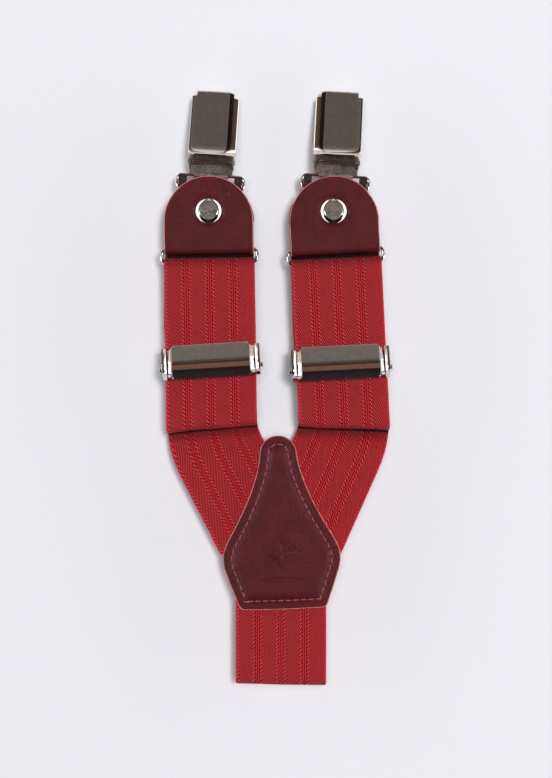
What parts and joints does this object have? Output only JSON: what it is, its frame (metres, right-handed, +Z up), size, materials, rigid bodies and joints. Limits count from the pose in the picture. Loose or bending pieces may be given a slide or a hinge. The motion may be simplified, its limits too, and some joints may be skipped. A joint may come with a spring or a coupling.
{
  "type": "suspenders",
  "caption": "Adjustable Y-back suspenders of striped elastic webbing with a leather patch, leather tabs, wire rings, lever adjusters and metal clips, folded flat.",
  "frame": {"origin": "on the surface the folded suspenders lie on, under the middle of their outline", "axes": "+X across the two front straps to the right, +Y along the front straps to the front clips, +Z up"},
  "size_m": [0.0895, 0.2302, 0.0192],
  "materials": {
    "webbing": "red elastic webbing with self stripes",
    "leather": "smooth burgundy leather",
    "nickel": "polished nickel plate",
    "thread": "waxed sewing thread",
    "pad": "moulded"
  },
  "bodies": {
    "straps": {"left_strap_folds": "webbing", "right_strap_folds": "webbing", "left_strap_front": "webbing", "right_strap_front": "webbing", "back_strap": "webbing", "back_strap_stitching": "thread", "patch_front": "leather", "patch_back": "leather", "patch_stitching": "thread"},
    "left_loop": {"left_strap_loop": "webbing"},
    "left_adjuster": {"left_adjuster_frame": "nickel", "left_adjuster_pins": "nickel", "left_strap_return": "webbing", "left_return_stitching": "thread"},
    "left_adjuster_lever": {"left_adjuster_lever": "nickel"},
    "left_ring": {"left_strap_ring": "nickel"},
    "left_tab": {"left_tab": "leather", "left_rivet_cap": "nickel", "left_rivet_back": "nickel"},
    "left_clip_ring": {"left_clip_ring": "nickel"},
    "left_clip": {"left_clip_base": "nickel", "left_clip_pin": "nickel", "left_clip_spring": "nickel", "left_clip_pad": "pad"},
    "left_clip_lever": {"left_clip_lever": "nickel"},
    "right_loop": {"right_strap_loop": "webbing"},
    "right_adjuster": {"right_adjuster_frame": "nickel", "right_adjuster_pins": "nickel", "right_strap_return": "webbing", "right_return_stitching": "thread"},
    "right_adjuster_lever": {"right_adjuster_lever": "nickel"},
    "right_ring": {"right_strap_ring": "nickel"},
    "right_tab": {"right_tab": "leather", "right_rivet_cap": "nickel", "right_rivet_back": "nickel"},
    "right_clip_ring": {"right_clip_ring": "nickel"},
    "right_clip": {"right_clip_base": "nickel", "right_clip_pin": "nickel", "right_clip_spring": "nickel", "right_clip_pad": "pad"},
    "right_clip_lever": {"right_clip_lever": "nickel"},
    "back_ring": {"back_strap_ring": "nickel"},
    "back_tab": {"back_tab": "leather", "back_rivet_cap": "nickel", "back_rivet_back": "nickel"},
    "back_clip_ring": {"back_clip_ring": "nickel"},
    "back_clip": {"back_clip_base": "nickel", "back_clip_pin": "nickel", "back_clip_spring": "nickel", "back_clip_pad": "pad"},
    "back_clip_lever": {"back_clip_lever": "nickel"}
  },
  "joints": [
    {"name": "left_length", "type": "slide", "parent": "straps", "child": "left_loop", "axis": [-0.014, 0.9999, 0], "range_m": [-0.007, 0.01], "deforming": ["left_strap_front"]},
    {"name": "left_adjuster_slide", "type": "slide", "parent": "left_loop", "child": "left_adjuster", "axis": [-0.014, 0.9999, 0], "range_m": [-0.007, 0.01], "deforming": ["left_strap_return"]},
    {"name": "left_adjuster_lever", "type": "hinge", "parent": "left_adjuster", "child": "left_adjuster_lever", "pos_m": [-0.02467, 0.00751, 0.01655], "axis": [0.998, 0.0628, 0], "range_deg": [0, 75]},
    {"name": "left_ring_swing", "type": "hinge", "parent": "left_loop", "child": "left_ring", "pos_m": [-0.02558, 0.04779, 0.0114], "axis": [0.9999, 0.014, 0], "range_deg": [0, 50]},
    {"name": "left_tab_swing", "type": "hinge", "parent": "left_ring", "child": "left_tab", "pos_m": [-0.02566, 0.05339, 0.0114], "axis": [0.9999, 0.014, 0], "range_deg": [0, 50]},
    {"name": "left_clip_ring_swing", "type": "hinge", "parent": "left_tab", "child": "left_clip_ring", "pos_m": [-0.02538, 0.0762, 0.0113], "axis": [0.9983, -0.0576, 0], "range_deg": [-25, 6]},
    {"name": "left_clip_swing", "type": "hinge", "parent": "left_clip_ring", "child": "left_clip", "pos_m": [-0.02507, 0.08149, 0.0113], "axis": [0.9983, -0.0576, 0], "range_deg": [-40, 30]},
    {"name": "left_clip_lever", "type": "hinge", "parent": "left_clip", "child": "left_clip_lever", "pos_m": [-0.02476, 0.08682, 0.01192], "axis": [0.9983, -0.0576, 0], "range_deg": [0, 75]},
    {"name": "right_length", "type": "slide", "parent": "straps", "child": "right_loop", "axis": [-0.0506, 0.9987, 0], "range_m": [-0.007, 0.01], "deforming": ["right_strap_front"]},
    {"name": "right_adjuster_slide", "type": "slide", "parent": "right_loop", "child": "right_adjuster", "axis": [-0.0506, 0.9987, 0], "range_m": [-0.007, 0.01], "deforming": ["right_strap_return"]},
    {"name": "right_adjuster_lever", "type": "hinge", "parent": "right_adjuster", "child": "right_adjuster_lever", "pos_m": [0.02497, 0.00677, 0.01655], "axis": [0.9987, 0.0506, 0], "range_deg": [0, 75]},
    {"name": "right_ring_swing", "type": "hinge", "parent": "right_loop", "child": "right_ring", "pos_m": [0.02329, 0.04774, 0.0114], "axis": [0.9987, 0.0506, 0], "range_deg": [0, 50]},
    {"name": "right_tab_swing", "type": "hinge", "parent": "right_ring", "child": "right_tab", "pos_m": [0.02301, 0.05333, 0.0114], "axis": [0.9987, 0.0506, 0], "range_deg": [0, 50]},
    {"name": "right_clip_ring_swing", "type": "hinge", "parent": "right_tab", "child": "right_clip_ring", "pos_m": [0.02285, 0.07615, 0.0113], "axis": [0.9983, -0.0576, 0], "range_deg": [-25, 6]},
    {"name": "right_clip_swing", "type": "hinge", "parent": "right_clip_ring", "child": "right_clip", "pos_m": [0.02316, 0.08144, 0.0113], "axis": [0.9983, -0.0576, 0], "range_deg": [-40, 30]},
    {"name": "right_clip_lever", "type": "hinge", "parent": "right_clip", "child": "right_clip_lever", "pos_m": [0.02346, 0.08677, 0.01192], "axis": [0.9983, -0.0576, 0], "range_deg": [0, 75]},
    {"name": "back_ring_swing", "type": "hinge", "parent": "straps", "child": "back_ring", "pos_m": [0.002, -0.0458, 0.004], "axis": [1, 0, 0], "range_deg": [0, 45]},
    {"name": "back_tab_swing", "type": "hinge", "parent": "back_ring", "child": "back_tab", "pos_m": [0.002, -0.0514, 0.004], "axis": [1, 0, 0], "range_deg": [0, 45]},
    {"name": "back_clip_ring_swing", "type": "hinge", "parent": "back_tab", "child": "back_clip_ring", "pos_m": [0.002, -0.0742, 0.0041], "axis": [1, 0, 0], "range_deg": [0, 25]},
    {"name": "back_clip_swing", "type": "hinge", "parent": "back_clip_ring", "child": "back_clip", "pos_m": [0.002, -0.07915, 0.006], "axis": [1, 0, 0], "range_deg": [0, 45]},
    {"name": "back_clip_lever", "type": "hinge", "parent": "back_clip", "child": "back_clip_lever", "pos_m": [0.002, -0.08405, 0.0038], "axis": [1, 0, 0], "range_deg": [0, 75]}
  ],
  "couplings": [
    {"joint": "left_adjuster_slide", "follows": "left_length", "ratio": 1},
    {"joint": "right_adjuster_slide", "follows": "right_length", "ratio": 1}
  ]
}
